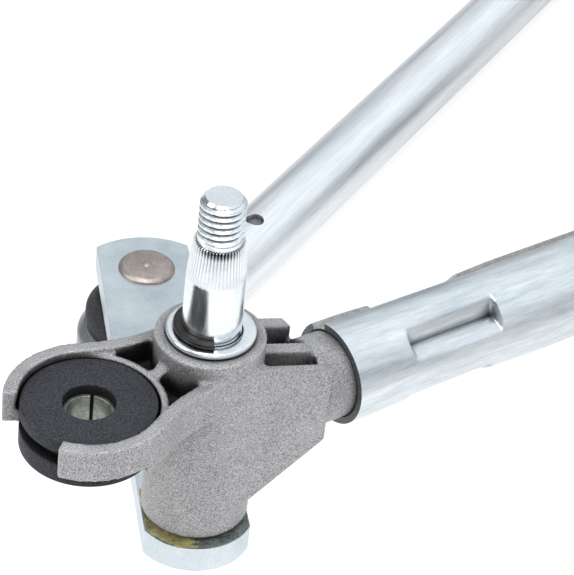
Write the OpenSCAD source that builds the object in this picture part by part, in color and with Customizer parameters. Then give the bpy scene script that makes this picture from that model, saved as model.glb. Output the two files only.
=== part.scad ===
// Wiper linkage: a bent frame tube with a cast pivot housing crimped in each end,
// two spindles with levers, a tie rod between the levers and a drive rod to the motor.
// The origin is the centre of the near fixing-bolt hole, Z runs up along the spindles
// and X runs along the first leg of the tube, away from the near housing.

/* [Layout] */
// Distance between the two spindle axes
pivot_span = 480; // [420:5:540]
// Angle between the first tube leg and the line through both spindles, in degrees
half_bend = 25.85; // [20:0.05:30]
// Direction of both levers in the parked pose, from X in degrees
lever_dir = 64.6; // [58:0.1:72]
// Bend radius of the frame tube, at its axis
bend_r = 80; // [60:1:110]
// Fixing-bolt hole to spindle axis, along the tube
bolt_x = 25.2; // [25:0.1:28]
// Fixing-bolt hole to spindle axis, across the tube
bolt_y = 1.4; // [0:0.1:2]

/* [Spindles] */
// Diameter of the plain part of a spindle
spindle_d = 10.6; // [9.6:0.1:11.4]
// Outside diameter of the thread for the wiper arm's nut
thread_d = 8; // [6:1:8]
// Length of the threaded end
thread_len = 8.9; // [7:0.1:12]
// Height of the knurled cone's foot above the housing
cone_foot = 13; // [10:0.5:16]
// Length of the knurled cone that grips the wiper arm
cone_len = 7; // [5:0.5:9]
// Diameter of the cone's narrow end
cone_top_d = 8.7; // [8.5:0.1:9.2]
// Thickness of the washer on top of the housing
washer_t = 1.2; // [1:0.1:2]
// Diameter of the washer on top of the housing
washer_d = 16; // [15.6:0.1:18]
// Thickness of the retaining ring
clip_t = 1.2; // [1:0.1:1.6]
// Reach of the retaining ring beyond the spindle
clip_reach = 1.4; // [1:0.1:2]
// Gap in the retaining ring, in degrees
clip_gap = 99; // [80:1:120]
// Side of the gap in the retaining ring, from X in degrees
clip_dir = 290; // [0:5:355]

/* [Housing] */
// Diameter of the bearing barrel
barrel_d = 19.8; // [18.8:0.1:22]
// Height of the bearing barrel
barrel_h = 40; // [36:0.5:46]
// Outside diameter of the two bearing bushes
bush_d = 14; // [13:0.1:15]
// Length of each bearing bush
bush_len = 12; // [9:0.5:14]
// Section diameter of the spindle's sealing ring
seal_section = 2; // [1.6:0.1:2.2]
// Thickness of the cast walls
wall = 2.5; // [2:0.1:3]
// Thickness of the cast ribs
rib = 3; // [2.4:0.1:4]
// Depth of the tube's axis below the top of the barrel
tube_drop = 20.2; // [19:0.1:22]
// Slope of the side walls' top edges, in degrees
box_slope = 19.1; // [15:0.1:22]
// Height of the front wall above the other ribs
rib_step = 2; // [1:0.1:3]
// Distance from the spindle to the end of the front wall
box_end = 21; // [20:0.5:23]
// Thickness of the front wall
front_wall = 1.8; // [1.5:0.1:2.5]
// Distance from the spindle to the end of the two pockets beside the middle rib
core_end = 22.9; // [22:0.1:25]
// Length of the spigot that the tube is crimped on
spigot_len = 52; // [46:1:60]
// Depth of the fork's rim below the top of the barrel
rim_drop = 3.5; // [2.5:0.1:4.5]
// Height of the fork's rim
rim_h = 6.3; // [5.6:0.1:7.5]
// Depth of the two pockets beside the fork
pocket_h = 7.6; // [6.5:0.1:10]
// Thickness of the low ring between the grommet and the two pockets
ring_wall = 1.4; // [1.2:0.1:2]
// Depth of that ring below the fork's rim
ring_step = 1; // [0.5:0.1:2]
// Radius of the fork's hollow flanks, where it narrows towards the barrel
neck_r = 30; // [20:1:45]
// Half of the fork's mouth, in degrees
mouth_half = 35; // [25:1:45]

/* [Grommets] */
// Diameter of a grommet's flanges
grommet_d = 23.6; // [22:0.1:24.4]
// Diameter of a grommet in its groove
groove_d = 19; // [17:0.1:20]
// Width of a grommet's groove
groove_w = 2.5; // [2:0.1:3]
// Thickness of a grommet's upper flange
upper_flange = 2.6; // [2:0.1:3]
// Thickness of a grommet's lower flange
lower_flange = 3.8; // [3:0.1:5]
// Outside diameter of the steel sleeve in a grommet
sleeve_d = 9.1; // [8.4:0.1:10]
// Wall of the steel sleeve
sleeve_wall = 0.7; // [0.6:0.05:1]
// Distance of the sleeve below the top of the rubber
sleeve_sunk = 2; // [1:0.1:3]

/* [Frame tube] */
// Outside diameter of the frame tube
tube_d = 19.8; // [18.6:0.1:22]
// Wall of the frame tube
tube_wall = 1.3; // [1:0.1:1.6]
// Distance from the spindle to the tube's rim
tube_start = 28.5; // [27:0.5:32]
// Distance from the spindle to the start of the crimps
crimp_start = 42; // [38:0.5:46]
// Length of the crimps
crimp_len = 21; // [15:0.5:24]
// Depth of the crimps
crimp_depth = 2.6; // [1.5:0.1:3]

/* [Levers and ball studs] */
// Distance from a spindle to its tie-rod ball
lever_len = 74.4; // [68:0.1:82]
// Distance from the far spindle to the drive-rod ball
drive_len = 36; // [32:0.5:38]
// Width of a lever
lever_w = 19.7; // [18:0.1:22]
// Thickness of a lever
lever_t = 5.4; // [4:0.1:6]
// Radius of a lever's end around the spindle
lever_nose_r = 11.34; // [11:0.05:12.5]
// Radius of a lever's blunt far end
lever_tip_r = 16.4; // [14:0.1:20]
// Reach of a lever beyond its ball stud
lever_tip = 11.3; // [10:0.1:13]
// Thickness of the slip washer between a barrel and its lever
slip_t = 1.3; // [1:0.1:2]
// Diameter of a ball
ball_d = 15; // [13:0.1:16]
// Depth of the ball centres below the levers
ball_drop = 17.5; // [16.5:0.1:19]
// Diameter of a stud's rivet head
head_d = 12; // [10:0.1:13]
// Height of a stud's rivet head
head_h = 1.5; // [1:0.1:2.5]

/* [Rods] */
// Outside diameter of the rod tubes
rod_d = 15.8; // [14:0.1:17]
// Wall of the rod tubes
rod_wall = 1.3; // [1:0.1:1.6]
// Length of the drive rod, ball to ball
drive_rod_len = 254.5; // [220:0.5:280]
// Direction of the drive rod from the line through both spindles, in degrees
drive_rod_dir = 15.2; // [12:0.1:18]
// Diameter of a moulded socket
socket_d = 28; // [26:0.2:29]
// Distance from a ball to the rod tube
rod_start = 26; // [24:0.5:30]
// Distance from a ball to the drain hole in the rod tube
drain_at = 49; // [44:0.5:54]
// Diameter of a drain hole
drain_d = 4.4; // [4:0.1:6]

/* [Motor plate] */
// Thickness of the motor plate
plate_t = 3; // [2:0.1:4]
// Distance from the corner of the tube's two legs to the motor shaft
motor_at = 66.7; // [62:0.1:72]
// Diameter of the hole for the motor shaft
shaft_hole_d = 32; // [26:0.5:40]
// Circle of the three motor bolts
motor_pcd = 66; // [60:0.5:70]
// Diameter of a motor bolt hole
motor_hole_d = 6.6; // [5.5:0.1:7]
// Distance from the corner of the two legs to the straps
strap_at = 80; // [74:1:90]
// Width of a strap along the tube
strap_w = 22; // [16:1:28]
// Thickness of a strap
strap_t = 2; // [1.5:0.1:3]

/* [Hidden] */
$fn = 64;
fit = 0.05;
eps = 0.01;
lap = 0.02;
spindle_r = spindle_d / 2;
barrel_r = barrel_d / 2;
tube_r = tube_d / 2;
tube_in = tube_r - tube_wall;
rod_r = rod_d / 2;
rod_in = rod_r - rod_wall;
ball_r = ball_d / 2;
rim_r = grommet_d / 2 + 0.4 + wall;
groove_top = rim_drop + rim_h - groove_w;
groove_low = rim_drop + rim_h;
lever_top = barrel_h + slip_t;
lever_low = lever_top + lever_t;
ball_z = lever_low + ball_drop;
collar_r = 6.2;
collar_h = 2;
seal_r = spindle_r + fit + seal_section;
leg = pivot_span / 2 / cos(half_bend);
bend_run = bend_r * tan(half_bend);
near_pos = [bolt_x, bolt_y, (groove_top + groove_low) / 2];
far_pos = near_pos + pivot_span * [cos(half_bend), sin(half_bend), 0];
lever_vec = [cos(lever_dir), sin(lever_dir), 0];
drive_ball = far_pos + drive_len * lever_vec - [0, 0, ball_z];
near_ball = near_pos + lever_len * lever_vec - [0, 0, ball_z];
fork_pos = [-bolt_x, -bolt_y, 0];
fork_dir = atan2(-bolt_y, -bolt_x);
fork_gap = norm([bolt_x, bolt_y]);
neck_x = ((barrel_r + neck_r) ^ 2 - (rim_r + neck_r) ^ 2 + fork_gap ^ 2) / (2 * fork_gap);
neck_y = sqrt((barrel_r + neck_r) ^ 2 - neck_x ^ 2);
spigot_r = tube_in - 0.25;
wedge_back = 12;
middle_rib_end = box_end + 1.4;
rear_wall_end = box_end + 2.6;
box_end_low = -tube_drop - 5.7;
box_heel = barrel_r - 5;
box_heel_low = -barrel_h + 6;

// Places at the near spindle, at the far housing, and at the far spindle with its lever parallel
module at_near() {
  translate(near_pos)
    children();
}
module at_far_housing() {
  translate(far_pos)
    rotate([0, 0, 180 + 2 * half_bend])
      children();
}
module at_far() {
  translate(far_pos)
    children();
}
module along_lever() {
  rotate([0, 0, lever_dir])
    children();
}

// Corner of the tube's two legs, with the first axis along the line through both spindles
module at_corner() {
  translate(near_pos + [leg, 0, 0])
    rotate([0, 0, half_bend])
      children();
}

// Flat ring standing on the plane z = low
module ring(r_out, r_in, low, height) {
  translate([0, 0, low])
    difference() {
      cylinder(r = r_out, h = height);
      translate([0, 0, -1])
        cylinder(r = r_in, h = height + 2);
    }
}

// Outline around the fork's ring and the barrel with hollow flanks between them, grown by the given amount
module fork_plan(grow) {
  rotate([0, 0, fork_dir]) {
    circle(r = barrel_r + grow - 2 * fit);
    translate([fork_gap, 0])
      circle(r = rim_r + grow - 2 * fit);
    difference() {
      polygon([[0, 0], [neck_x, neck_y], [fork_gap, 0], [neck_x, -neck_y]]);
      for (side = [-1, 1])
        translate([neck_x, side * neck_y])
          circle(r = neck_r - grow - fit);
    }
  }
}

// Fork that holds the grommet: rim, thin plate in the groove, two deep pockets towards the barrel with a low
// ring and a short sloping rib between them
module fork() {
  floor_z = -rim_drop - pocket_h;
  ring_r = rim_r - wall + ring_wall;
  difference() {
    union() {
      translate(fork_pos)
        ring(rim_r, rim_r - wall, -groove_low, rim_h);
      translate([0, 0, -groove_low])
        linear_extrude(height = groove_w)
          translate(fork_pos)
            circle(r = rim_r - 0.2);
      translate([0, 0, floor_z])
        linear_extrude(height = pocket_h)
          difference() {
            fork_plan(0);
            translate(fork_pos)
              circle(r = rim_r - wall / 2);
            rotate([0, 0, fork_dir])
              translate([fork_gap - wall, -rim_r - 1])
                square([2 * rim_r, 2 * rim_r + 2]);
          }
    }
    translate(fork_pos + [0, 0, -groove_low - 1])
      cylinder(d = groove_d, h = rim_h + 2);
    translate(fork_pos + [0, 0, -groove_low - 1])
      rotate([0, 0, fork_dir])
        linear_extrude(height = rim_h + 2)
          polygon([[0, 0], 30 * [cos(mouth_half), sin(mouth_half)], [45, 0],
            30 * [cos(mouth_half), -sin(mouth_half)]]);
    translate([0, 0, floor_z + wall])
      linear_extrude(height = pocket_h)
        difference() {
          fork_plan(-wall);
          translate(fork_pos)
            circle(r = ring_r);
        }
    translate([0, 0, -rim_drop - ring_step])
      linear_extrude(height = ring_step + 1)
        fork_plan(-wall);
  }
  rotate([0, 0, fork_dir])
    across(-wall / 2, wall)
      polygon([[barrel_r - 1, floor_z + 1], [fork_gap - ring_r + 0.5, floor_z + 1],
        [fork_gap - ring_r + 0.5, -rim_drop - ring_step - 0.3], [barrel_r - 1, -rim_drop + 1]]);
}

// Side view of a wall of the rib box: its top lowered, its end at a distance, its bottom raised by an inset
module box_side(lower, end, inset) {
  top = -rim_drop - lower;
  knee = barrel_r / 2;
  polygon([[0, top], [knee, top], [end, top - (end - knee) * tan(box_slope)],
    [end, box_end_low + inset], [box_heel, box_heel_low + inset], [0, box_heel_low + inset]]);
}

// Extrudes a side view across the tube, from y = low
module across(low, width) {
  translate([0, low + width, 0])
    rotate([90, 0, 0])
      linear_extrude(height = width)
        children();
}

// Rib box: a front wall, a middle rib and a rear wall on a block that runs out into the spigot
module rib_box() {
  difference() {
    union() {
      across(-barrel_r, front_wall)
        box_side(0, box_end, 0);
      across(-barrel_r, 2 * barrel_r)
        box_side(rib_step, box_end, 0);
      across(-rib / 2, rib)
        box_side(rib_step, middle_rib_end, 0);
      across(barrel_r - rib, rib)
        box_side(rib_step, rear_wall_end, 0);
      bar(spigot_r, box_end - rib, spigot_len + rib);
    }
    pocket_core([[0, -barrel_r + front_wall], [box_end - 1, -barrel_r + front_wall], [core_end, -rib / 2],
      [0, -rib / 2]]);
    pocket_core([[0, rib / 2], [core_end, rib / 2], [core_end, barrel_r - rib], [0, barrel_r - rib]]);
  }
}

// Core that leaves a pocket of the given plan in the rib box, down to its sloping floor
module pocket_core(plan) {
  intersection() {
    translate([0, 0, -barrel_h])
      linear_extrude(height = barrel_h + 1)
        polygon(plan);
    across(-barrel_r, 2 * barrel_r)
      polygon([[0, 2], [core_end + 1, 2], [core_end + 1, box_end_low + rib],
        [box_heel, box_heel_low + rib], [0, box_heel_low + rib]]);
  }
}

// Crimp tool: a V ridge along the tube, pressed in from outside, grown by the given amount
module crimp(grow) {
  side = crimp_depth + grow;
  translate([crimp_start - grow, 0, tube_r - side])
    rotate([90, 0, 90])
      linear_extrude(height = crimp_len + 2 * grow)
        polygon([[0, 0], [1.9 * side, 1.25 * side], [1.9 * side, wedge_back], [-1.9 * side, wedge_back],
          [-1.9 * side, 1.25 * side]]);
}

// Four crimps around the tube's axis
module crimps(grow) {
  translate([0, 0, -tube_drop])
    for (turn = [45 : 90 : 315])
      rotate([turn, 0, 0])
        crimp(grow);
}

// Round bar along X at the tube's height
module bar(r, low, length) {
  translate([low, 0, -tube_drop])
    rotate([0, 90, 0])
      cylinder(r = r, h = length);
}

// Cast pivot housing with its barrel on Z and its spigot along X
module housing() {
  difference() {
    union() {
      translate([0, 0, -barrel_h])
        cylinder(r = barrel_r, h = barrel_h);
      fork();
      difference() {
        rib_box();
        crimps(tube_wall);
      }
    }
    translate([0, 0, -barrel_h - 1])
      cylinder(d = bush_d, h = barrel_h + 2);
    translate([0, 0, -seal_section - 2 * fit])
      cylinder(r = seal_r, h = 5);
  }
}

// Straight end of the frame tube with its crimps
module tube_leg() {
  length = leg - bend_run - tube_start + 1;
  difference() {
    bar(tube_r, tube_start, length);
    difference() {
      bar(tube_in, tube_start - 1, length + 2);
      crimps(tube_wall);
    }
    crimps(0);
  }
}

module frame_tube() color("silver") {
  at_near()
    tube_leg();
  at_far_housing()
    tube_leg();
  translate(near_pos + [leg - bend_run, bend_r, -tube_drop])
    rotate([0, 0, -90])
      rotate_extrude(angle = 2 * half_bend)
        translate([bend_r, 0])
          difference() {
            circle(r = tube_r + lap);
            circle(r = tube_in - lap);
          }
}

module near_housing() color("darkgray") {
  at_near()
    housing();
}
module far_housing() color("darkgray") {
  at_far_housing()
    housing();
}

// Bearing bushes at the top and bottom of a barrel
module upper_bush() {
  ring(bush_d / 2, spindle_r + fit, -seal_section - 2 * fit - bush_len, bush_len);
}
module lower_bush() {
  ring(bush_d / 2, spindle_r + fit, -barrel_h, bush_len);
}
module near_upper_bush() color("peru") {
  at_near()
    upper_bush();
}
module near_lower_bush() color("peru") {
  at_near()
    lower_bush();
}
module far_upper_bush() color("peru") {
  at_far()
    upper_bush();
}
module far_lower_bush() color("peru") {
  at_far()
    lower_bush();
}

// Sealing ring under the top washer
module seal() {
  translate([0, 0, -seal_section / 2 - fit])
    rotate_extrude()
      translate([spindle_r + fit + seal_section / 2, 0])
        circle(d = seal_section);
}
module near_seal() color("black") {
  at_near()
    seal();
}
module far_seal() color("black") {
  at_far()
    seal();
}

// Rubber grommet in the fork, with its groove on the fork's plate
module grommet() {
  low = groove_low + lower_flange;
  translate(fork_pos)
    rotate_extrude()
      polygon([[sleeve_d / 2, -low], [grommet_d / 2 - 0.6, -low], [grommet_d / 2, -low + 0.6],
        [grommet_d / 2, -groove_low], [groove_d / 2, -groove_low], [groove_d / 2, -groove_top],
        [grommet_d / 2, -groove_top], [grommet_d / 2, -groove_top + upper_flange - 0.6],
        [grommet_d / 2 - 0.6, -groove_top + upper_flange], [sleeve_d / 2, -groove_top + upper_flange]]);
}
module near_grommet() color("black") {
  at_near()
    grommet();
}
module far_grommet() color("black") {
  at_far_housing()
    grommet();
}

// Rolled steel sleeve in a grommet, with its seam
module sleeve() {
  top = -groove_top + upper_flange - sleeve_sunk;
  length = top + groove_low + lower_flange + 0.6;
  translate(fork_pos)
    difference() {
      ring(sleeve_d / 2, sleeve_d / 2 - sleeve_wall, top - length, length);
      rotate([0, 0, 51])
        translate([0, -0.25, top - length - 1])
          cube([sleeve_d, 0.5, length + 2]);
    }
}
module near_sleeve() color("gray") {
  at_near()
    sleeve();
}
module far_sleeve() color("gray") {
  at_far_housing()
    sleeve();
}

// Point on a leg of the tube from the corner: distance along it, offset across it, side -1 or 1
function leg_point(t, off, side) =
  [side * (t * cos(half_bend) - off * sin(half_bend)), t * sin(half_bend) + off * cos(half_bend)];

// Two discs and the straight edges that touch them both
module disc_pair(a, ra, b, rb) {
  gap = b - a;
  way = atan2(gap[1], gap[0]);
  swing = acos((ra - rb) / norm(gap));
  translate(a)
    circle(r = ra);
  translate(b)
    circle(r = rb);
  polygon([a + ra * [cos(way + swing), sin(way + swing)], b + rb * [cos(way + swing), sin(way + swing)],
    b + rb * [cos(way - swing), sin(way - swing)], a + ra * [cos(way - swing), sin(way - swing)]]);
}

// Pressed plate across the tube's bend that carries the motor, with a bead round the shaft hole
module motor_plate() color("gainsboro") {
  pad_r = norm([strap_w / 2, tube_r + 8]) + 4;
  left = leg_point(strap_at, 0, -1);
  right = leg_point(strap_at, 0, 1);
  motor = [0, motor_at];
  at_corner()
    translate([0, 0, -tube_drop - tube_r - plate_t])
      difference() {
        union() {
          linear_extrude(height = plate_t) {
            disc_pair(left, pad_r, motor, motor_pcd / 2 + 11);
            disc_pair(right, pad_r, motor, motor_pcd / 2 + 11);
            disc_pair(left, pad_r, right, pad_r);
          }
          translate([0, motor_at, plate_t])
            rotate_extrude()
              translate([shaft_hole_d / 2 + 5, 0])
                circle(d = 3);
        }
        translate([0, motor_at, -2])
          cylinder(d = shaft_hole_d, h = plate_t + 6);
        for (turn = [90 : 120 : 330])
          translate([0, motor_at, -2])
            rotate([0, 0, turn])
              translate([motor_pcd / 2, 0, 0])
                cylinder(d = motor_hole_d, h = plate_t + 6);
      }
}

// Strap over the tube with two feet on the motor plate
module strap() {
  translate([-strap_w / 2, 0, -tube_drop])
    rotate([90, 0, 90])
      linear_extrude(height = strap_w)
        difference() {
          union() {
            circle(r = tube_r + strap_t);
            translate([-tube_r - strap_t, -tube_r])
              square([2 * tube_r + 2 * strap_t, tube_r]);
            translate([-tube_r - 8, -tube_r])
              square([2 * tube_r + 16, strap_t]);
          }
          circle(r = tube_r);
          translate([-tube_r, -2 * tube_r])
            square([2 * tube_r, 2 * tube_r]);
        }
}
module plate_straps() color("gainsboro") {
  at_corner() {
    rotate([0, 0, half_bend])
      translate([strap_at, 0, 0])
        strap();
    rotate([0, 0, 180 - half_bend])
      translate([strap_at, 0, 0])
        strap();
  }
}

// Spindle: swaged foot under the lever, bearing part, ring groove, cone and thread
module spindle() {
  stub_r = spindle_r - 0.8;
  foot = lever_low + 1.2;
  cone_top = cone_foot + cone_len;
  thread_r = thread_d / 2;
  rotate_extrude()
    polygon([[0, -foot], [stub_r + 1.5, -foot], [stub_r + 1.5, -lever_low], [stub_r, -lever_low],
      [stub_r, -lever_top], [spindle_r, -lever_top], [spindle_r, washer_t], [spindle_r - 0.7, washer_t],
      [spindle_r - 0.7, washer_t + clip_t], [spindle_r, washer_t + clip_t], [spindle_r, cone_foot - 0.4],
      [spindle_r - 0.1, cone_foot], [cone_top_d / 2, cone_top], [thread_r, cone_top],
      [thread_r, cone_top + thread_len - 0.7], [thread_r - 0.65, cone_top + thread_len],
      [0, cone_top + thread_len]]);
}
module near_spindle() color("lightsteelblue") {
  at_near()
    spindle();
}
module far_spindle() color("lightsteelblue") {
  at_far()
    spindle();
}

// Lever outline with its hole for the spindle; further holes are given by their distance
module lever(holes) {
  tip_at = lever_len + lever_tip;
  along_lever()
    translate([0, 0, -lever_low])
      linear_extrude(height = lever_t)
        difference() {
          intersection() {
            translate([-2 * lever_w, -lever_w / 2])
              square([lever_len + 4 * lever_w, lever_w]);
            union() {
              circle(r = lever_nose_r);
              translate([tip_at - lever_tip_r, 0])
                circle(r = lever_tip_r);
              translate([0, -lever_w])
                square([tip_at - lever_tip_r, 2 * lever_w]);
            }
          }
          circle(r = spindle_r - 0.8);
          for (hole = holes)
            translate([hole, 0])
              circle(r = 4);
        }
}
module near_lever() color("lightsteelblue") {
  at_near()
    lever([lever_len]);
}
module far_lever() color("lightsteelblue") {
  at_far()
    lever([lever_len, drive_len]);
}

// Ball stud riveted through a lever, its ball below
module ball_stud(distance) {
  along_lever()
    translate([distance, 0, 0]) {
      rotate_extrude()
        polygon([[0, -lever_top + head_h], [head_d / 2 - 1, -lever_top + head_h],
          [head_d / 2, -lever_top + head_h - 0.7], [head_d / 2, -lever_top], [4, -lever_top], [4, -lever_low],
          [collar_r, -lever_low], [collar_r, -lever_low - collar_h], [4, -lever_low - collar_h],
          [4, -ball_z + ball_r / 2], [0, -ball_z + ball_r / 2]]);
      translate([0, 0, -ball_z])
        sphere(r = ball_r);
    }
}
module near_ball_stud() color("rosybrown") {
  at_near()
    ball_stud(lever_len);
}
module far_ball_stud() color("rosybrown") {
  at_far()
    ball_stud(lever_len);
}
module drive_ball_stud() color("rosybrown") {
  at_far()
    ball_stud(drive_len);
}

// Washer on the barrel's top face
module top_washer() {
  edge = 0.35;
  rotate_extrude()
    polygon([[spindle_r + fit, 0], [washer_d / 2 - edge, 0], [washer_d / 2, edge],
      [washer_d / 2, washer_t - edge], [washer_d / 2 - edge, washer_t], [spindle_r + fit, washer_t]]);
}
module near_top_washer() color("lightsteelblue") {
  at_near()
    top_washer();
}
module far_top_washer() color("lightsteelblue") {
  at_far()
    top_washer();
}

// Retaining ring in the spindle's groove, open on one side
module clip() {
  translate([0, 0, washer_t])
    rotate([0, 0, clip_dir + clip_gap / 2])
      rotate_extrude(angle = 360 - clip_gap)
        translate([spindle_r - 0.7, 0])
          square([0.7 + clip_reach, clip_t]);
}
module near_clip() color("dimgray") {
  at_near()
    clip();
}
module far_clip() color("dimgray") {
  at_far()
    clip();
}

// Slip washer between a barrel and its lever
module near_slip_washer() color("khaki") {
  at_near()
    ring(barrel_r - 1.5, spindle_r, -lever_top, slip_t);
}
module far_slip_washer() color("khaki") {
  at_far()
    ring(barrel_r - 1.5, spindle_r, -lever_top, slip_t);
}

// Rod frames: the ball at the first end is the origin and the rod runs along X
module tie_end(second) {
  translate(near_ball)
    rotate([0, 0, half_bend])
      translate([second ? pivot_span : 0, 0, 0])
        rotate([0, 0, second ? 180 : 0])
          children();
}
module drive_end(second) {
  translate(drive_ball)
    rotate([0, 0, 180 + half_bend + drive_rod_dir])
      translate([second ? drive_rod_len : 0, 0, 0])
        rotate([0, 0, second ? 180 : 0])
          children();
}

// Round bar along X through the origin
module rod_bar(r, low, length) {
  translate([low, 0, 0])
    rotate([0, 90, 0])
      cylinder(r = r, h = length);
}

// Rod tube from one socket to the other, with a drain hole in its top near both ends
module rod_tube(length) {
  difference() {
    rod_bar(rod_r, rod_start, length - 2 * rod_start);
    rod_bar(rod_in, rod_start - 1, length - 2 * rod_start + 2);
    for (at = [drain_at, length - drain_at])
      translate([at, 0, 0])
        cylinder(d = drain_d, h = rod_d);
  }
}
module tie_tube() color("silver") {
  tie_end(false)
    rod_tube(pivot_span);
}
module drive_tube() color("silver") {
  drive_end(false)
    rod_tube(drive_rod_len);
}

// Moulded ball socket with its spigot for the rod tube
module socket() {
  top = rod_r + 0.1;
  floor_z = -ball_r - 2;
  rim = socket_d / 2;
  difference() {
    union() {
      rotate_extrude()
        polygon([[0, floor_z], [rim - 3.5, floor_z], [rim - 1, floor_z + 3], [rim, -2], [rim, top - 1.8],
          [rim - 1.6, top], [0, top]]);
      rod_bar(rod_r, ball_r, rod_start - ball_r);
      rod_bar(rod_in, rod_start - eps, 34);
    }
    sphere(r = ball_r + fit);
    cylinder(r = ball_r - 0.9, h = ball_r + 5);
  }
}
module tie_near_socket() color("dimgray") {
  tie_end(false)
    socket();
}
module tie_far_socket() color("dimgray") {
  tie_end(true)
    socket();
}
module drive_lever_socket() color("dimgray") {
  drive_end(false)
    socket();
}
module drive_crank_socket() color("dimgray") {
  drive_end(true)
    socket();
}

// Rubber boot on top of a socket, its lip round the stud's collar
module boot() {
  foot = rod_r + 0.1;
  lip = ball_drop - 0.3;
  belly = (foot + lip) / 2;
  rotate_extrude()
    polygon([[9, foot], [12, foot], [12.5, belly - 1.8], [12.3, belly], [10.2, belly + 2.4],
      [collar_r + 2, lip - 1.9], [collar_r + 1.8, lip], [collar_r + fit, lip], [collar_r + fit, lip - 1.7],
      [collar_r + 2.3, belly + 1.6], [10.8, belly - 0.6], [10.9, belly - 1.8], [10.2, foot + 1]]);
}
module tie_near_boot() color("black") {
  tie_end(false)
    boot();
}
module tie_far_boot() color("black") {
  tie_end(true)
    boot();
}
module drive_lever_boot() color("black") {
  drive_end(false)
    boot();
}
module drive_crank_boot() color("black") {
  drive_end(true)
    boot();
}

frame_tube();
near_housing();
far_housing();
near_upper_bush();
near_lower_bush();
far_upper_bush();
far_lower_bush();
near_seal();
far_seal();
near_grommet();
far_grommet();
near_sleeve();
far_sleeve();
motor_plate();
plate_straps();
near_spindle();
near_lever();
near_ball_stud();
near_top_washer();
near_clip();
near_slip_washer();
far_spindle();
far_lever();
far_ball_stud();
drive_ball_stud();
far_top_washer();
far_clip();
far_slip_washer();
tie_tube();
tie_near_socket();
tie_far_socket();
tie_near_boot();
tie_far_boot();
drive_tube();
drive_lever_socket();
drive_crank_socket();
drive_lever_boot();
drive_crank_boot();
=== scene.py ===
import bmesh
import bpy
import numpy as np
from mathutils import Matrix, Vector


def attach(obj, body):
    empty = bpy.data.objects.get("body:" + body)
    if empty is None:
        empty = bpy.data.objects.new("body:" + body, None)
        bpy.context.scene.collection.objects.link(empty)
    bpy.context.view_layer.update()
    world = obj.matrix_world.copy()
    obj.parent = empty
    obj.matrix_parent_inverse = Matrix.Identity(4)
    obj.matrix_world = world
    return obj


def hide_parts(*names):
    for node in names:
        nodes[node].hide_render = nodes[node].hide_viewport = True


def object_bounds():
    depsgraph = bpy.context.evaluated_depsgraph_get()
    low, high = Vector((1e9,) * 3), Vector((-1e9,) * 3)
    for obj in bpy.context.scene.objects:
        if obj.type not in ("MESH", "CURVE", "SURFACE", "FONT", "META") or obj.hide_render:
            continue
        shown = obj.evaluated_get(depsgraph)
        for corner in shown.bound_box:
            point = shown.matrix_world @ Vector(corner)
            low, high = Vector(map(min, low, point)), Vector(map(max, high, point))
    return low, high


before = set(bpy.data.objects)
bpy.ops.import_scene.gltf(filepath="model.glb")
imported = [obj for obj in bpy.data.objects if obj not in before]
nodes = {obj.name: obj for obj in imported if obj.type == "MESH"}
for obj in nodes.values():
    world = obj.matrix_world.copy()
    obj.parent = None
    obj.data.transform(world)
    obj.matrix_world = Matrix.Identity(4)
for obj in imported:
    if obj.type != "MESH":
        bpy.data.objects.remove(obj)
cad_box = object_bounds()

MM = 0.001
# Layout of the linkage in millimetres, as in the solids: two spindles, NEAR and FAR, at the tops of their barrels.
BEND = np.radians(25.85)
LEVER = np.radians(64.6)
SPAN = 480.0
NEAR = np.array([25.2, 1.4, 8.55])
FAR = NEAR + SPAN * np.array([np.cos(BEND), np.sin(BEND), 0.0])
LEVER_DIR = np.array([np.cos(LEVER), np.sin(LEVER), 0.0])
LEVER_LEN, LEVER_HALF, LEVER_TOP = 74.4, 9.55, -41.3
DRIVE_AT = 36.0
BALL_DROP = np.array([0.0, 0.0, -64.2])
NEAR_BALL = NEAR + LEVER_LEN * LEVER_DIR + BALL_DROP
FAR_BALL = FAR + LEVER_LEN * LEVER_DIR + BALL_DROP
DRIVE_BALL = FAR + DRIVE_AT * LEVER_DIR + BALL_DROP
DRIVE_DIR = np.pi + BEND + np.radians(15.2)
DRIVE_LEN = 254.5
CRANK_BALL = DRIVE_BALL + DRIVE_LEN * np.array([np.cos(DRIVE_DIR), np.sin(DRIVE_DIR), 0.0])
FORK = np.array([-25.2, -1.4, 0.0])
# Tubes: outer radius, bore's radius, drop of the frame tube below the barrels' tops, radius of its bend.
TUBE_R, TUBE_BORE, TUBE_DROP, BEND_R = 9.9, 8.6, 20.2, 80.0
ROD_R, ROD_BORE = 7.9, 6.6
DRAIN_AT, DRAIN_R = 49.0, 2.2
# Angles from which an edge stays sharp, and from which an edge of a stamped part is rolled.
SHARP, ROLLED = np.radians(38), np.radians(32)


# Meshes

def show(name, data):
    """New object for some data, in the scene."""
    made = bpy.data.objects.new(name, data)
    bpy.context.scene.collection.objects.link(made)
    return made


def turn(points, angle):
    """Points turned about Z by an angle in radians."""
    c, s = np.cos(angle), np.sin(angle)
    return points @ np.array([[c, s, 0.0], [-s, c, 0.0], [0.0, 0.0, 1.0]])


def fillet(corners, radius, steps=5):
    """Closed outline whose corners are quadratic curves, each from radius before the corner to radius after it."""
    p = np.asarray(corners, float)
    to_last, to_next = np.roll(p, 1, 0) - p, np.roll(p, -1, 0) - p

    def reach(way):
        """The way towards a neighbour, cut to the radius or to just under half of the edge."""
        length = np.linalg.norm(way, axis=1)[:, None]
        return way * np.minimum(radius, 0.45 * length) / length

    a, b = p + reach(to_last), p + reach(to_next)
    t = np.linspace(0, 1, steps)[None, :, None]
    curve = (1 - t) ** 2 * a[:, None] + 2 * t * (1 - t) * p[:, None] + t ** 2 * b[:, None]
    return curve.reshape(-1, 2)


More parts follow.
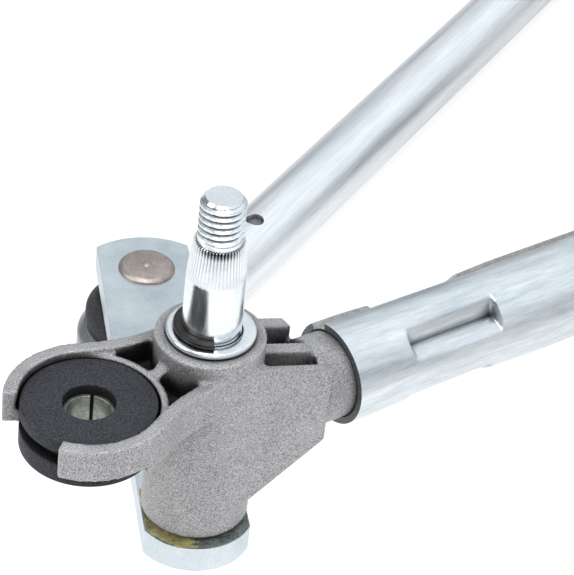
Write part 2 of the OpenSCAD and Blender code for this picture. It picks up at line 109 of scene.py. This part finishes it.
def skin(rows, cols, wrap_rows):
    """Quads of a grid that is closed round its columns, and round its rows too where wrap_rows is true."""
    r = np.arange(rows if wrap_rows else rows - 1)[:, None]
    c = np.arange(cols)[None, :]
    r2, c2 = (r + 1) % rows, (c + 1) % cols
    return np.stack([r * cols + c, r * cols + c2, r2 * cols + c2, r2 * cols + c], -1).reshape(-1, 4)


def piece(name, points, faces, material, body, stands_for=(), lay=None):
    """Mesh object at the origin from points in millimetres, riding on a body in place of some solids.
    Points that coincide are merged, and edges past the angle SHARP stay sharp. lay is the straight place of each
    point along a drawn tube, for the tube's streaks."""
    mesh = bpy.data.meshes.new(name)
    mesh.from_pydata((np.asarray(points) * MM).tolist(), [], [list(f) for f in faces])
    if lay is not None:
        mesh.attributes.new("lay", "FLOAT_VECTOR", "POINT").data.foreach_set("vector", (lay * MM).ravel())
    bm = bmesh.new()
    bm.from_mesh(mesh)
    bmesh.ops.remove_doubles(bm, verts=bm.verts, dist=1e-7)
    bmesh.ops.recalc_face_normals(bm, faces=bm.faces)
    bm.to_mesh(mesh)
    bm.free()
    mesh.polygons.foreach_set("use_smooth", np.ones(len(mesh.polygons), bool))
    mesh.set_sharp_from_angle(angle=SHARP)
    mesh.materials.append(material)
    made = show(name, mesh)
    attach(made, body)
    if stands_for:
        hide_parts(*stands_for)
    return made


def turned(name, outline, centre, material, body, stands_for, turns=96):
    """Turned piece: a closed outline of radius and height carried round a vertical axis through centre.
    An outline that touches the axis is open there, and its two ends are capped by a flat face."""
    o = np.asarray(outline, float)
    a = np.linspace(0, 2 * np.pi, turns, endpoint=False)
    solid = o[:, 0].min() < 1e-6
    if solid:
        o = o[o[:, 0] > 1e-6]
    x, y = o[:, :1] * np.cos(a), o[:, :1] * np.sin(a)
    points = np.stack([x, y, np.repeat(o[:, 1:], turns, 1)], -1).reshape(-1, 3)
    faces = skin(len(o), turns, not solid).tolist()
    if solid:
        ring = np.arange(turns)
        last = (len(o) - 1) * turns
        faces += [list(ring[::-1]), list(last + ring)]
    return piece(name, points + centre, faces, material, body, stands_for)


def copy_of(node_name, material, body):
    """Object that stands for a solid: a copy of its mesh with doubles merged and its own face normals."""
    mesh = nodes[node_name].data.copy()
    if "custom_normal" in mesh.attributes:
        mesh.attributes.remove(mesh.attributes["custom_normal"])
    bm = bmesh.new()
    bm.from_mesh(mesh)
    bmesh.ops.remove_doubles(bm, verts=bm.verts, dist=2e-6)
    bmesh.ops.dissolve_limit(bm, angle_limit=0.002, verts=bm.verts, edges=bm.edges)
    bm.to_mesh(mesh)
    bm.free()
    mesh.materials.clear()
    mesh.materials.append(material)
    mesh.polygons.foreach_set("use_smooth", np.ones(len(mesh.polygons), bool))
    made = show(node_name + "_dressed", mesh)
    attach(made, body)
    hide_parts(node_name)
    return made


def edge_rolled(node_name, radius, material, body):
    """Copy of a solid with its sharp edges rolled over by a small radius, as stamping leaves them."""
    made = copy_of(node_name, material, body)
    roll = made.modifiers.new("rolled edge", "BEVEL")
    roll.width, roll.segments = radius * MM, 2
    roll.limit_method, roll.angle_limit = "ANGLE", ROLLED
    roll.harden_normals = True
    return made


def moulded(node_name, grain, passes, material, body):
    """Copy of a solid remeshed on a fine grid and relaxed, so that its corners get the small radii of a mould."""
    made = copy_of(node_name, material, body)
    voxels = made.modifiers.new("grid", "REMESH")
    voxels.mode, voxels.voxel_size, voxels.use_smooth_shade = "VOXEL", grain * MM, True
    relax = made.modifiers.new("mould radii", "SMOOTH")
    relax.factor, relax.iterations = 0.5, passes
    return made


# Materials

def linear(code):
    """sRGB hex colour as linear red, green, blue and alpha."""
    s = np.array([int(code[i:i + 2], 16) for i in (1, 3, 5)]) / 255
    return (*np.where(s <= 0.04045, s / 12.92, ((s + 0.055) / 1.055) ** 2.4).tolist(), 1.0)


def add(tree, kind, links=None, inputs=None, **settings):
    """Adds a node with its settings, its input values and its links, given as input name to (node, output)."""
    made = tree.nodes.new(kind)
    for key, value in settings.items():
        setattr(made, key, value)
    for key, value in (inputs or {}).items():
        made.inputs[key].default_value = value
    for key, (source, output) in (links or {}).items():
        tree.links.new(source.outputs[output], made.inputs[key])
    return made


def finish(name, dark, light, patch_mm, grain_mm, share, rough, metallic, bump, stretch=0, painted_shade=None, edge_wear_and_highlight=None,
           gloss=0.5):
    """Surface with colour between dark and light in patches and grains, roughness over a range in the same
    patches, and a fine relief. patch_mm and grain_mm are the real sizes of a patch and of a grain, and share
    is the grain's part in the colour. With stretch, the patches are drawn out along the tube so many times.
    The shade colour with its width in millimetres is painted shade: ambient occlusion within that width darkens
    hollows towards that colour. The edge colour lightens outer edges: part wear, part painted highlight. gloss is
    the strength of the plain reflection."""
    material = bpy.data.materials.new(name)
    material.use_nodes = True
    tree = material.node_tree
    tree.nodes.clear()
    if stretch:
        straight = add(tree, "ShaderNodeAttribute", attribute_name="lay")
        spot = add(tree, "ShaderNodeMapping", {"Vector": (straight, "Vector")}, {"Scale": (1 / stretch, 1.0, 1.0)})
        source = (spot, "Vector")
    else:
        source = (add(tree, "ShaderNodeTexCoord"), "Object")
    patch = add(tree, "ShaderNodeTexNoise", {"Vector": source},
                {"Scale": 1 / (patch_mm * MM), "Detail": 5.0, "Roughness": 0.6})
    grain = add(tree, "ShaderNodeTexNoise", {"Vector": source},
                {"Scale": 1 / (grain_mm * MM), "Detail": 3.0, "Roughness": 0.7})
    tone = add(tree, "ShaderNodeMix", {2: (patch, "Fac"), 3: (grain, "Fac")}, {0: share}, data_type="FLOAT")
    ramp = add(tree, "ShaderNodeValToRGB", {"Fac": (tone, "Result")})
    for stop, place, code in zip(ramp.color_ramp.elements, (0.36, 0.64), (dark, light)):
        stop.position, stop.color = place, linear(code)
    colour = (ramp, "Color")
    # Outer edges, found by pointiness, are lightened towards the edge colour: part wear, part painted highlight.
    if edge_wear_and_highlight:
        shape = add(tree, "ShaderNodeNewGeometry")
        edge = add(tree, "ShaderNodeMapRange", {"Value": (shape, "Pointiness")},
                   {"From Min": 0.53, "From Max": 0.62, "To Max": 0.3})
        colour = (add(tree, "ShaderNodeMix", {0: (edge, "Result"), 6: colour}, {7: linear(edge_wear_and_highlight)},
                      data_type="RGBA"), 2)
    # Painted shade: where ambient occlusion finds a hollow within the given width, the colour goes towards the shade
    # colour.
    if painted_shade:
        view = add(tree, "ShaderNodeAmbientOcclusion", inputs={"Distance": painted_shade[1] * MM}, samples=6)
        deep = add(tree, "ShaderNodeMapRange", {"Value": (view, "AO")},
                   {"From Min": 0.35, "From Max": 0.9, "To Min": 1.0, "To Max": 0.0})
        colour = (add(tree, "ShaderNodeMix", {0: (deep, "Result"), 6: colour}, {7: linear(painted_shade[0])},
                      data_type="RGBA"), 2)
    sheen = add(tree, "ShaderNodeMapRange", {"Value": (patch, "Fac")},
                {"From Min": 0.3, "From Max": 0.7, "To Min": rough[0], "To Max": rough[1]})
    relief = add(tree, "ShaderNodeBump", {"Height": (grain, "Fac")}, {"Strength": bump, "Distance": grain_mm * MM})
    shader = add(tree, "ShaderNodeBsdfPrincipled",
                 {"Base Color": colour, "Roughness": (sheen, "Result"), "Normal": (relief, "Normal")},
                 {"Metallic": metallic, "Specular IOR Level": gloss})
    add(tree, "ShaderNodeOutputMaterial", {"Surface": (shader, "BSDF")})
    return material


# Bright zinc plate with a blue passivation on stamped steel: a soft mirror with faint cloudy patches.
zinc = finish("zinc_plated_steel", "#B6C0C5", "#D4DBDF", 9.0, 0.5, 0.3, (0.3, 0.42), 1.0, 0.06)
# The same plate on turned and rolled steel: smoother, nearly a mirror, with painted shade in the bottoms of the
# grooves.
bright_zinc = finish("zinc_plated_turned_steel", "#D8DEE2", "#F1F4F5", 5.0, 0.4, 0.4, (0.12, 0.22), 1.0, 0.04,
                     painted_shade=("#3A4046", 0.55))
# Zinc plate on drawn tube: the die leaves long faint streaks and a duller, whiter skin.
# Painted shade darkens its dents, its seam and other hollows.
zinc_tube = finish("zinc_plated_drawn_tube", "#BDC5CA", "#E6EAEB", 2.0, 0.4, 0.35, (0.24, 0.4), 1.0, 0.08, 10,
                   painted_shade=("#2E3236", 4.5))
# The rods' thinner tube is drawn smoother and plated paler.
# Painted shade darkens its drain holes and other hollows.
zinc_rod = finish("zinc_plated_rod_tube", "#D8DEE1", "#F8FAFB", 2.4, 0.5, 0.4, (0.26, 0.42), 1.0, 0.1, 22,
                  painted_shade=("#2E3236", 3.0))
# Sawn end of a tube: bare dark steel with saw marks. Sheared edge of its strip: brighter.
sawn_steel = finish("sawn_steel", "#5E6264", "#8A8E8F", 1.5, 0.3, 0.6, (0.4, 0.6), 0.9, 0.3)
sheared_steel = finish("sheared_steel", "#8D8E8F", "#B8B6B3", 1.5, 0.3, 0.6, (0.4, 0.6), 0.9, 0.3)
# Die-cast aluminium after blasting: matt, neutral grey, sandy, with bright grains, and painted shade grey-black in
# the corners.
# Its outer edges are lighter: part wear, part painted highlight.
cast = finish("blasted_die_cast_aluminium", "#5F5D5E", "#D6D4D5", 6.0, 0.22, 0.88, (0.36, 0.52), 0.6, 0.9,
              painted_shade=("#171515", 8.0), edge_wear_and_highlight="#E6E3E1")
# Black rubber with a fine bloom: nearly no gloss, pale specks.
# Painted shade darkens the bores and other hollows nearly to black.
rubber = finish("black_rubber", "#0E0F12", "#46474C", 3.0, 0.3, 0.9, (0.5, 0.66), 0.0, 0.6,
                painted_shade=("#020203", 14.0), gloss=0.2)
# Glass-filled nylon, dark grey: a faint fibre grain under a glossy skin from a polished mould.
nylon = finish("glass_filled_nylon", "#4A4B50", "#68696E", 4.0, 0.5, 0.4, (0.12, 0.22), 0.0, 0.05, gloss=1.0)
# Spring steel, black oxide with oil: nearly black and shiny.
spring_steel = finish("oiled_spring_steel", "#151312", "#302C2A", 2.0, 0.4, 0.4, (0.24, 0.36), 0.5, 0.1)
# Plain steel of the ball studs, slightly tanned by heat.
stud_steel = finish("hardened_stud_steel", "#8C827D", "#B2A8A2", 3.0, 0.4, 0.4, (0.34, 0.46), 0.85, 0.08)
# Rolled steel strip with an olive passivation.
sleeve_steel = finish("passivated_strip_steel", "#6C6F67", "#A9ACA2", 2.0, 0.4, 0.4, (0.3, 0.44), 0.9, 0.1)
# Oil-filled sintered bronze: warm and porous.
bronze = finish("sintered_bronze", "#5A452C", "#8C6D45", 1.5, 0.3, 0.5, (0.45, 0.6), 0.8, 0.2)
# Natural acetal stained by grease: dull straw, waxy.
acetal = finish("greasy_acetal", "#6F6B50", "#96917A", 4.0, 0.5, 0.3, (0.3, 0.42), 0.0, 0.05)
# Bearing grease squeezed out, wet: yellow-green where it is thick. The darker grey kind is part grease that picked up
# wear, part painted shadow of the barrel.
grease = finish("bearing_grease", "#6F6A45", "#BDB27C", 3.0, 0.6, 0.3, (0.14, 0.3), 0.0, 0.6)
worn_and_shaded_grease = finish("worn_and_shaded_grease", "#353D3A", "#707973", 3.0, 0.6, 0.3, (0.14, 0.3), 0.0, 0.6)


# Turned pieces

def spindle(name, centre, body):
    """Spindle: rings of radius up the height. On the cone 48 V grooves run out of the plain shaft and reach the
    thread's radius at the cone's top. The thread drops by up to 0.65 mm along a helix of 1.25 mm pitch, which
    fades in above a plain collar, and its end is chamfered."""
    grooves, pitch, thread_r, thread_depth = 48, 1.25, 4.0, 0.65
    cone_low, cone_top, collar_top, end = 13.0, 20.0, 20.9, 28.9
    cols = grooves * 6
    a = np.linspace(0, 2 * np.pi, cols, endpoint=False)
    foot = np.array([[-47.9, 5.6], [-47.5, 6.0], [-46.7, 6.0], [-46.7, 4.5], [LEVER_TOP, 4.5], [LEVER_TOP, 5.3],
                     [1.2, 5.3], [1.2, 4.8], [2.4, 4.8], [2.4, 5.3], [12.6, 5.3]])
    cone_z = np.linspace(cone_low, cone_top, 26)
    thread_z = np.linspace(cone_top, end, 118)
    groove = 2 * np.abs((a * grooves / (2 * np.pi)) % 1.0 - 0.5)
    crest = np.interp(cone_z, [cone_low, cone_top], [5.28, 4.58])
    depth = np.interp(cone_z, [cone_low, 14.5, 18.6, cone_top], [0.0, 0.15, 0.26, 0.62])
    lead = 2 * np.abs((thread_z[:, None] / pitch - a / (2 * np.pi)) % 1.0 - 0.5)
    valley = np.clip((thread_z - collar_top) / 0.7, 0, 1)[:, None] * np.clip(1.6 * lead - 0.55, 0, 1)
    chamfer = np.interp(thread_z, [cone_top, end - 1.0, end], [thread_r, thread_r, 3.15])[:, None]
    plain = np.zeros((len(foot), cols))
    r = np.concatenate([foot[:, 1:] + plain, crest[:, None] - depth[:, None] * groove,
                        np.minimum(thread_r - thread_depth * valley, chamfer)])
    z = np.repeat(np.concatenate([foot[:, 0], cone_z, thread_z])[:, None], cols, 1)
    points = np.stack([r * np.cos(a), r * np.sin(a), z], -1).reshape(-1, 3)
    ring = np.arange(cols)
    faces = skin(len(z), cols, False).tolist() + [list(ring[::-1]), list((len(z) - 1) * cols + ring)]
    piece(name + "_cut", points + centre, faces, bright_zinc, body, (name,))


def ball_stud(name, ball, body):
    """Ball stud: flat rivet head with a small pip, shank, collar, neck and ball, turned about the ball's axis."""
    ball_r = 7.5
    b = np.linspace(np.radians(58), -np.pi / 2, 22)
    globe = np.stack([ball_r * np.cos(b), ball_r * np.sin(b)], 1)
    head = [[0.0, 24.4], [0.35, 24.37], [0.7, 24.25], [0.95, 24.02], [5.0, 24.0], [5.2, 23.95], [5.85, 23.35],
            [6.0, 23.1], [6.0, 22.9]]
    shank = [[4.0, 22.9], [4.0, 17.5], [6.2, 17.5], [6.2, 15.5], [4.0, 15.5]]
    outline = np.concatenate([head, shank, globe, [[0.0, -ball_r]]])
    turned(name + "_turned", outline, ball, stud_steel, body, (name,), 72)


def clip(name, centre, body):
    """Retaining ring in the spindle's groove: a section with round corners carried from 240.5 degrees back to
    -20.5 degrees. Its outer side falls in a cosine wave towards the shaft over the last 100 degrees."""
    thin_end, thick_end, taper = -20.5, 240.5, 100
    low, high, groove_r = 1.22, 2.35, 4.8
    a = np.radians(np.linspace(thin_end, thick_end, 132))
    wide = 0.55 + 1.4 * (0.5 - 0.5 * np.cos(np.pi * np.clip((np.degrees(a) - thin_end) / taper, 0, 1)))
    section = fillet([[0.0, low], [1.0, low], [1.0, high], [0.0, high]], 0.3)
    r = groove_r + wide[:, None] * section[:, 0]
    rows = np.stack([r * np.cos(a)[:, None], r * np.sin(a)[:, None], section[:, 1] + 0 * r], -1)
    count = len(section)
    ends = [list(range(count))[::-1], list(range((len(a) - 1) * count, len(a) * count))]
    piece(name + "_coiled", rows.reshape(-1, 3) + centre, skin(len(a), count, False).tolist() + ends, spring_steel,
          body, (name,))


def grommet(name, centre):
    """Grommet: two flanges and a groove with slightly rounded lips, turned about the bolt's axis."""
    outline = fillet([[4.55, -13.6], [11.8, -13.6], [11.8, -9.82], [9.5, -9.82], [9.5, -7.28], [11.8, -7.28],
                      [11.8, -4.7], [4.55, -4.7]], 0.35)
    turned(name + "_rubber", outline, centre, rubber, "frame", (name,), 128)


def boot(name, ball, body):
    """Boot: foot on the socket, one belly fold and a lip round the stud's collar, turned about the ball's axis."""
    outline = fillet([[9.0, 8.0], [12.0, 8.0], [12.5, 10.8], [12.3, 12.6], [10.2, 15.0], [8.2, 15.3], [8.0, 17.2],
                      [6.25, 17.2], [6.25, 15.5], [8.5, 14.2], [10.8, 12.0], [10.9, 10.8], [10.2, 9.0]], 1.0)
    turned(name + "_rubber", outline, ball, rubber, body, (name,))


def grease_film(name, centre, body):
    """Grease squeezed out on the lever round the barrel's foot: a ring that thins out to a ragged edge, its outer
    radius swung by a few waves round the turn and cut off where the lever's straight sides end. Between 237 and
    350 degrees it takes the darker grey grease: part wear, part painted shadow of the barrel."""
    inner, outer, worn_and_shaded_from, worn_and_shaded_to = 8.45, 10.95, 237, 350
    a = np.linspace(0, 2 * np.pi, 240, endpoint=False)
    ragged = 0.16 * np.sin(5 * a + 1.0) + 0.12 * np.sin(11 * a + 2.1) + 0.1 * np.sin(23 * a) + 0.07 * np.sin(41 * a)
    side = LEVER_HALF / np.maximum(np.abs(np.sin(a - LEVER)), 0.1)
    share = np.linspace(0, 1, 9)[:, None]
    r = inner + share * (np.minimum(outer + ragged, side + 0.3 * ragged) - inner)
    high = 0.03 + 0.2 * (1 - share ** 2) * (1 + 0.5 * np.sin(7 * a + 5 * share) * np.sin(3 * a))
    top = np.stack([r * np.cos(a), r * np.sin(a), LEVER_TOP + high], -1)
    low = top[::-1] * [1, 1, 0] + [0, 0, LEVER_TOP - 0.01]
    grid = np.concatenate([top, low])
    made = piece(name, grid.reshape(-1, 3) + centre, skin(len(grid), len(a), True), grease, body)
    made.data.materials.append(worn_and_shaded_grease)
    turned_by = np.degrees(a) + 5 * np.sin(np.arange(len(grid))[:, None] * 1.7)
    # Painted shadow of the barrel, together with grey wear: the darker grease on one side, its border shaken a
    # little.
    is_worn_and_shaded = (turned_by > worn_and_shaded_from) & (turned_by < worn_and_shaded_to)
    made.data.polygons.foreach_set("material_index", is_worn_and_shaded.astype(int).ravel())


for side, centre in (("near", NEAR), ("far", FAR)):
    crank = side + "_crank"
    spindle(side + "_spindle", centre, crank)
    washer = fillet([[5.35, 0.0], [8.0, 0.0], [8.0, 1.2], [5.35, 1.2]], 0.45)
    turned(side + "_top_washer_pressed", washer, centre, bright_zinc, crank, (side + "_top_washer",))
    clip(side + "_clip", centre, crank)
    grease_film(side + "_grease", centre, crank)
grommet("near_grommet", NEAR + FORK)
grommet("far_grommet", FAR + turn(FORK, np.pi + 2 * BEND))
ball_stud("near_ball_stud", NEAR_BALL, "near_crank")
ball_stud("far_ball_stud", FAR_BALL, "far_crank")
ball_stud("drive_ball_stud", DRIVE_BALL, "far_crank")
boot("tie_near_boot", NEAR_BALL, "tie_rod")
boot("tie_far_boot", FAR_BALL, "tie_rod")
boot("drive_lever_boot", DRIVE_BALL, "drive_rod")
boot("drive_crank_boot", CRANK_BALL, "drive_rod")


# Tubes

def frame_tube():
    """Frame tube: a circle carried along straight, arc and straight at one height, with its inner wall 1.3 mm
    inside. Four V dents at each end grow from 2.4 mm deep and 7.0 mm wide to 2.8 mm and 7.6 mm away from the rim,
    with a steep wall at both ends, and the inner wall follows them by 0.7. A dent falls off in a straight line to
    0.85 of its half width and then in a parabola to 1.15 of it. Round it the outer wall is drawn in by up to
    0.3 mm, as a bell curve across the tube and a cosine rise and fall along it. Strip rolled to this tube leaves
    an open seam on top, drawn 1.15 mm deep; below it the bore is smaller by a hundredth of that, which keeps the
    points on the two sides of the seam apart. Face rows at the rims are sawn, and the seam's two sides sheared."""
    seam_depth, dent_start, dent_end = 1.15, 41.0, 62.9
    leg = SPAN / 2 / np.cos(BEND)
    run = BEND_R * np.tan(BEND)
    straight = np.concatenate([[28.5, 29.0, 31.0], np.linspace(33.0, 39.6, 10), np.linspace(40.2, 43.6, 18),
                               np.linspace(44.2, 61.4, 20), np.linspace(61.8, 63.8, 11), np.linspace(64.6, 74.0, 12),
                               np.linspace(78, leg - run, 12)])
    arc = np.linspace(0, 2 * BEND, 34)[1:-1]
    bent = leg - run + BEND_R * arc
    path = np.concatenate([np.stack([straight, 0 * straight], 1),
                           np.stack([leg - run + BEND_R * np.sin(arc), BEND_R - BEND_R * np.cos(arc)], 1),
                           SPAN * np.array([np.cos(BEND), np.sin(BEND)])
                           - straight[::-1, None] * np.array([np.cos(2 * BEND), np.sin(2 * BEND)])])
    heading = np.concatenate([0 * straight, arc, np.full(len(straight), 2 * BEND)])[:, None]
    drawn = np.concatenate([straight, bent, bent[-1] + leg - run - straight[::-1]])
    along = np.concatenate([straight, np.full(len(arc), leg), straight[::-1]])
    depth = np.interp(along, [dent_start, 41.5, 42.4, 43.0, 62.3, dent_end], [0.0, 0.25, 2.1, 2.4, 2.8, 0.0])[:, None]
    half = np.interp(along, [42.0, 62.3], [3.5, 3.8])[:, None]
    near_dent = np.clip((along - 33) / 10, 0, 1) - np.clip((along - 61) / 12, 0, 1)
    drawn_in = 0.15 * (1 - np.cos(np.pi * near_dent))[:, None]
    quarter = np.concatenate([np.linspace(-45, -30, 7, endpoint=False), np.linspace(-30, 30, 34, endpoint=False),
                              np.linspace(30, 45, 7, endpoint=False)])
    a = np.radians(np.concatenate([quarter + 45 + 90 * k for k in range(4)]))
    seam = np.radians([21.0, 45.0])
    a = np.sort(np.concatenate([a, [seam[0], seam[0], seam[1]]]))
    cut = np.searchsorted(a, seam - 1e-6)
    sunk = np.zeros(len(a))
    sunk[cut[0] + 1:cut[1] + 1] = seam_depth
    across = TUBE_R * np.abs(a % (np.pi / 2) - np.pi / 4)
    u = across / half
    dent = depth * np.where(u < 0.85, 1 - u, np.clip(1.15 - u, 0, 1) ** 2 / 0.6)
    outer = TUBE_R - sunk - dent - drawn_in * np.exp(-(across / 6.5) ** 2)
    inner = TUBE_BORE - 0.01 * sunk - 0.7 * dent
    walls, lays = [], []
    for radius in (outer, inner):
        lift, out = radius * np.cos(a), radius * np.sin(a)
        walls.append(np.stack([path[:, :1] - out * np.sin(heading), path[:, 1:] + out * np.cos(heading),
                               lift - TUBE_DROP], -1))
        lays.append(np.stack([np.repeat(drawn[:, None], len(a), 1), out, lift], -1))
    grid, lay = (np.concatenate([two[0], two[1][::-1]]) for two in (walls, lays))
    made = piece("frame_tube_drawn", grid.reshape(-1, 3) + NEAR, skin(len(grid), len(a), True), zinc_tube, "frame",
                 ("frame_tube",), lay.reshape(-1, 3))
    made.data.materials.append(sawn_steel)
    made.data.materials.append(sheared_steel)
    bare = np.zeros((len(grid), len(a)), int)
    bare[[len(path) - 1, -1]] = 1
    bare[:len(path) - 1, cut] = 2
    made.data.polygons.foreach_set("material_index", bare.ravel())


def rod_tube(name, ball, heading, length, body):
    """Rod tube: a circle carried along a straight line. At 49 mm from each ball a square of the grid on top is
    taken out, and a ring of quads from its edge to a 4.4 mm circle goes in, so that the wall has a drain hole."""
    cols, side, count, reach = 96, 12, 13, 6.0
    step = 2 * np.pi / cols
    run, edge = np.linspace(-reach, reach, count), ROD_R * step * np.arange(-side, side + 1)
    before = [26.0, 26.5, 30.0, 38.0]
    half = np.concatenate([before, DRAIN_AT + run, [60.0, 80.0, 110.0]])
    s = np.concatenate([half, (length - half)[::-1]])
    a = step * np.arange(cols)
    row, col = np.arange(len(s) - 1), np.arange(cols)
    row = np.minimum(row, len(s) - 2 - row)
    in_rows = (row >= len(before)) & (row < len(before) + count - 1)
    in_cols = (col < side) | (col >= cols - side)
    kept = ~(in_rows[:, None] & in_cols[None, :]).ravel()
    square = np.concatenate([np.stack([run, np.full(count, edge[0])], 1)[:-1],
                             np.stack([np.full(len(edge), reach), edge], 1)[:-1],
                             np.stack([run[::-1], np.full(count, edge[-1])], 1)[:-1],
                             np.stack([np.full(len(edge), -reach), edge[::-1]], 1)[:-1]])
    hole = DRAIN_R * square / np.linalg.norm(square, axis=1)[:, None]
    share = np.array([0.0, 0.08, 0.25, 0.5, 0.75, 1.0])[:, None, None]
    patch = hole + share * (square - hole)
    points, faces, rim, start = [], [], [], 0
    for radius in (ROD_R, ROD_BORE):
        tube = np.stack([np.repeat(s[:, None], cols, 1), radius * np.sin(a) + 0 * s[:, None],
                         radius * np.cos(a) + 0 * s[:, None]], -1)
        points.append(tube.reshape(-1, 3))
        faces.append(start + skin(len(s), cols, False)[kept])
        rim.append(start)
        start += tube.size // 3
        for spot in (DRAIN_AT, length - DRAIN_AT):
            round_it = patch[..., 1] / ROD_R
            ring = np.stack([spot + patch[..., 0], radius * np.sin(round_it), radius * np.cos(round_it)], -1)
            points.append(ring.reshape(-1, 3))
            faces.append(start + skin(len(patch), len(square), False))
            rim.append(start)
            start += ring.size // 3
    last = (len(s) - 1) * cols
    for one, two, size in ((rim[0], rim[3], cols), (rim[0] + last, rim[3] + last, cols),
                           (rim[1], rim[4], len(square)), (rim[2], rim[5], len(square))):
        here, after = np.arange(size), np.roll(np.arange(size), -1)
        faces.append(np.stack([one + here, one + after, two + after, two + here], -1))
    straight = np.concatenate(points)
    piece(name + "_drawn", turn(straight, heading) + ball, np.concatenate(faces), zinc_rod, body,
          (name,), straight)


frame_tube()
rod_tube("tie_tube", NEAR_BALL, BEND, SPAN, "tie_rod")
rod_tube("drive_tube", DRIVE_BALL, DRIVE_DIR, DRIVE_LEN, "drive_rod")


# Solids dressed as cast, moulded and stamped parts

for side in ("near", "far"):
    moulded(side + "_housing", 0.41, 2, cast, "frame")
    edge_rolled(side + "_lever", 0.3, zinc, side + "_crank")
    edge_rolled(side + "_sleeve", 0.15, sleeve_steel, "frame")
edge_rolled("motor_plate", 0.6, zinc, "frame")
edge_rolled("plate_straps", 0.4, zinc, "frame")
for name in ("tie_near_socket", "tie_far_socket", "drive_lever_socket", "drive_crank_socket"):
    moulded(name, 0.45, 5, nylon, name.split("_")[0] + "_rod")
for name, material in (("upper_bush", bronze), ("lower_bush", bronze), ("seal", rubber), ("slip_washer", acetal)):
    for side in ("near", "far"):
        made = nodes[side + "_" + name]
        made.data.materials.clear()
        made.data.materials.append(material)


# Studio: white paper below with a painted pool of light, a white room that darkens towards the horizon, two soft
# boxes

FLOOR_HALF = 6
floor_z = cad_box[0][2]
floor = bpy.data.meshes.new("floor")
floor.from_pydata([(x * FLOOR_HALF, y * FLOOR_HALF, floor_z) for x, y in ((-1, -1), (1, -1), (1, 1), (-1, 1))], [],
                  [(0, 1, 2, 3)])
floor_object = show("floor", floor)
paper = bpy.data.materials.new("white_paper")
paper.use_nodes = True
tree = paper.node_tree
tree.nodes.clear()
path = add(tree, "ShaderNodeLightPath")
spot = add(tree, "ShaderNodeTexCoord")
far_off = add(tree, "ShaderNodeVectorMath", {0: (spot, "Object")}, {1: (-0.02, -0.06, floor_z)},
              operation="DISTANCE")
# Painted pool of light: in reflections the paper glows 0.95 bright round a point near the linkage and 0.5 from 0.3 m
# away; camera and transmission rays see at least 0.8.
light_pool = add(tree, "ShaderNodeMapRange", {"Value": (far_off, "Value")},
             {"From Min": 0.1, "From Max": 0.3, "To Min": 0.95, "To Max": 0.5})
direct = add(tree, "ShaderNodeMath", {0: (path, "Is Camera Ray"), 1: (path, "Is Transmission Ray")},
             operation="MAXIMUM")
shine = add(tree, "ShaderNodeMath", {0: (direct, "Value")}, {1: 0.8}, operation="MULTIPLY")
shine = add(tree, "ShaderNodeMath", {0: (shine, "Value"), 1: (light_pool, "Result")}, operation="MAXIMUM")
seen = add(tree, "ShaderNodeMath", {0: (direct, "Value"), 1: (path, "Is Glossy Ray")}, operation="MAXIMUM")
matt = add(tree, "ShaderNodeBsdfDiffuse", inputs={"Color": linear("#CFCFCF")})
thin = add(tree, "ShaderNodeBsdfDiffuse", inputs={"Color": linear("#8F8F90")})
glow = add(tree, "ShaderNodeEmission", {"Strength": (shine, "Value")}, {"Color": linear("#FFFFFF")})
lit = add(tree, "ShaderNodeAddShader", {0: (thin, "BSDF"), 1: (glow, "Emission")})
sheet = add(tree, "ShaderNodeMixShader", {"Fac": (seen, "Value"), 1: (matt, "BSDF"), 2: (lit, "Shader")})
add(tree, "ShaderNodeOutputMaterial", {"Surface": (sheet, "Shader")})
floor.materials.append(paper)

world = bpy.data.worlds.new("studio")
bpy.context.scene.world = world
world.use_nodes = True
tree = world.node_tree
tree.nodes.clear()
way = add(tree, "ShaderNodeTexCoord")
path = add(tree, "ShaderNodeLightPath")
height = add(tree, "ShaderNodeVectorMath", {0: (way, "Generated")}, {1: (0.35, -0.1, 0.93)},
             operation="DOT_PRODUCT")
open_side = add(tree, "ShaderNodeMapRange", {"Value": (height, "Value")},
                {"From Min": 0.05, "From Max": 0.85, "To Min": 0.32, "To Max": 1.2})
power = add(tree, "ShaderNodeMath", {0: (open_side, "Result"), 1: (path, "Is Camera Ray")}, operation="MAXIMUM")
power = add(tree, "ShaderNodeMath", {0: (power, "Value"), 1: (path, "Is Transmission Ray")}, operation="MAXIMUM")
sky = add(tree, "ShaderNodeBackground", {"Strength": (power, "Value")}, {"Color": linear("#F5FAFF")})
add(tree, "ShaderNodeOutputWorld", {"Surface": (sky, "Background")})


def set_up(made, axes, place):
    """Puts an object at a place, with its X, Y and Z along the columns of axes."""
    made.matrix_world = Matrix([[*row, p] for row, p in zip(axes.tolist(), place)] + [[0, 0, 0, 1]])


def lamp(name, place, aim, size, watts):
    """Square soft box at a place, turned to an aim."""
    data = bpy.data.lights.new(name, "AREA")
    data.shape, data.size, data.energy = "SQUARE", size, watts
    z = np.array(place) - np.array(aim)
    z = z / np.linalg.norm(z)
    x = np.cross([0.3, 0.2, 1.0], z)
    x = x / np.linalg.norm(x)
    set_up(show(name, data), np.stack([x, np.cross(z, x), z], 1), place)


lamp("key", (-0.25, -0.35, 0.9), (0.05, 0.0, 0.0), 0.8, 7.0)
lamp("left", (-0.9, 0.3, 0.5), (0.0, 0.0, 0.0), 0.6, 4.0)

# Camera of the photograph: its axes are turned into the object's frame, the roll is 7 degrees.
RIGHT = np.array([0.8149, -0.5712, 0.0988])
UP = np.array([0.2784, 0.5352, 0.7975])
AHEAD = np.array([0.5084, 0.6224, -0.5951])
SENSOR, FOCAL_PX, WIDTH_PX = 36, 2200, 575
camera_data = bpy.data.cameras.new("camera")
camera_data.lens, camera_data.sensor_width = SENSOR * FOCAL_PX / WIDTH_PX, SENSOR
camera = show("camera", camera_data)
camera_place = (NEAR + np.array([-182.0, -242.1, 235.8])) * MM
set_up(camera, np.stack([RIGHT, UP, -AHEAD], 1), camera_place.tolist())
bpy.context.scene.camera = camera
bpy.context.scene.view_settings.view_transform = "Standard"
